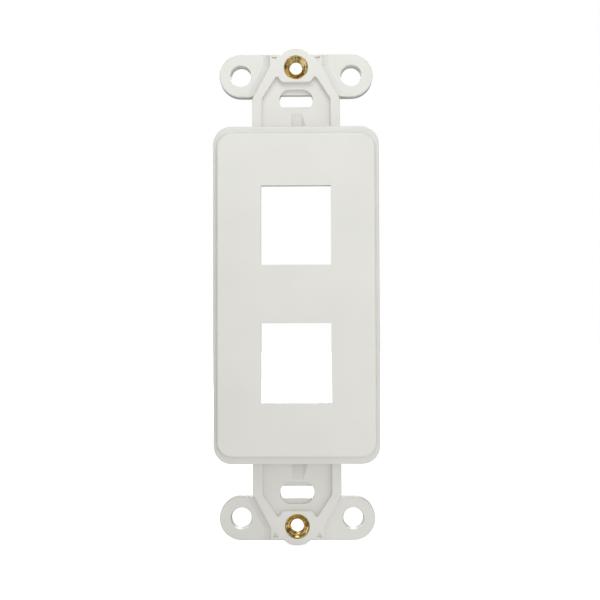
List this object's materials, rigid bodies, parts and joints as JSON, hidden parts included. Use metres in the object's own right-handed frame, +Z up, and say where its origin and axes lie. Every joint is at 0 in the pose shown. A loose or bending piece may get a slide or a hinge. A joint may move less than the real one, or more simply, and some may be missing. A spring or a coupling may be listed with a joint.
{
  "type": "wall plate insert",
  "caption": "Moulded plastic wall plate insert with jack windows in a raised rectangular face, rounded screw ears and brass threaded inserts in its necks.",
  "frame": {"origin": "centre of the pattern of the ear holes, on the plane of the ears' backs that lies against the wall", "axes": "+Z up along the long side, from the lower to the upper plate screw; the front faces -Y; +X to the right seen from the front"},
  "size_m": [0.0344, 0.01, 0.1048],
  "materials": {
    "moulded_plastic": "satin moulded off-white plastic",
    "insert_brass": "turned, bright"
  },
  "bodies": {
    "root": {"frame": "moulded_plastic", "threaded_insert_top": "insert_brass", "threaded_insert_bottom": "insert_brass"}
  },
  "joints": []
}
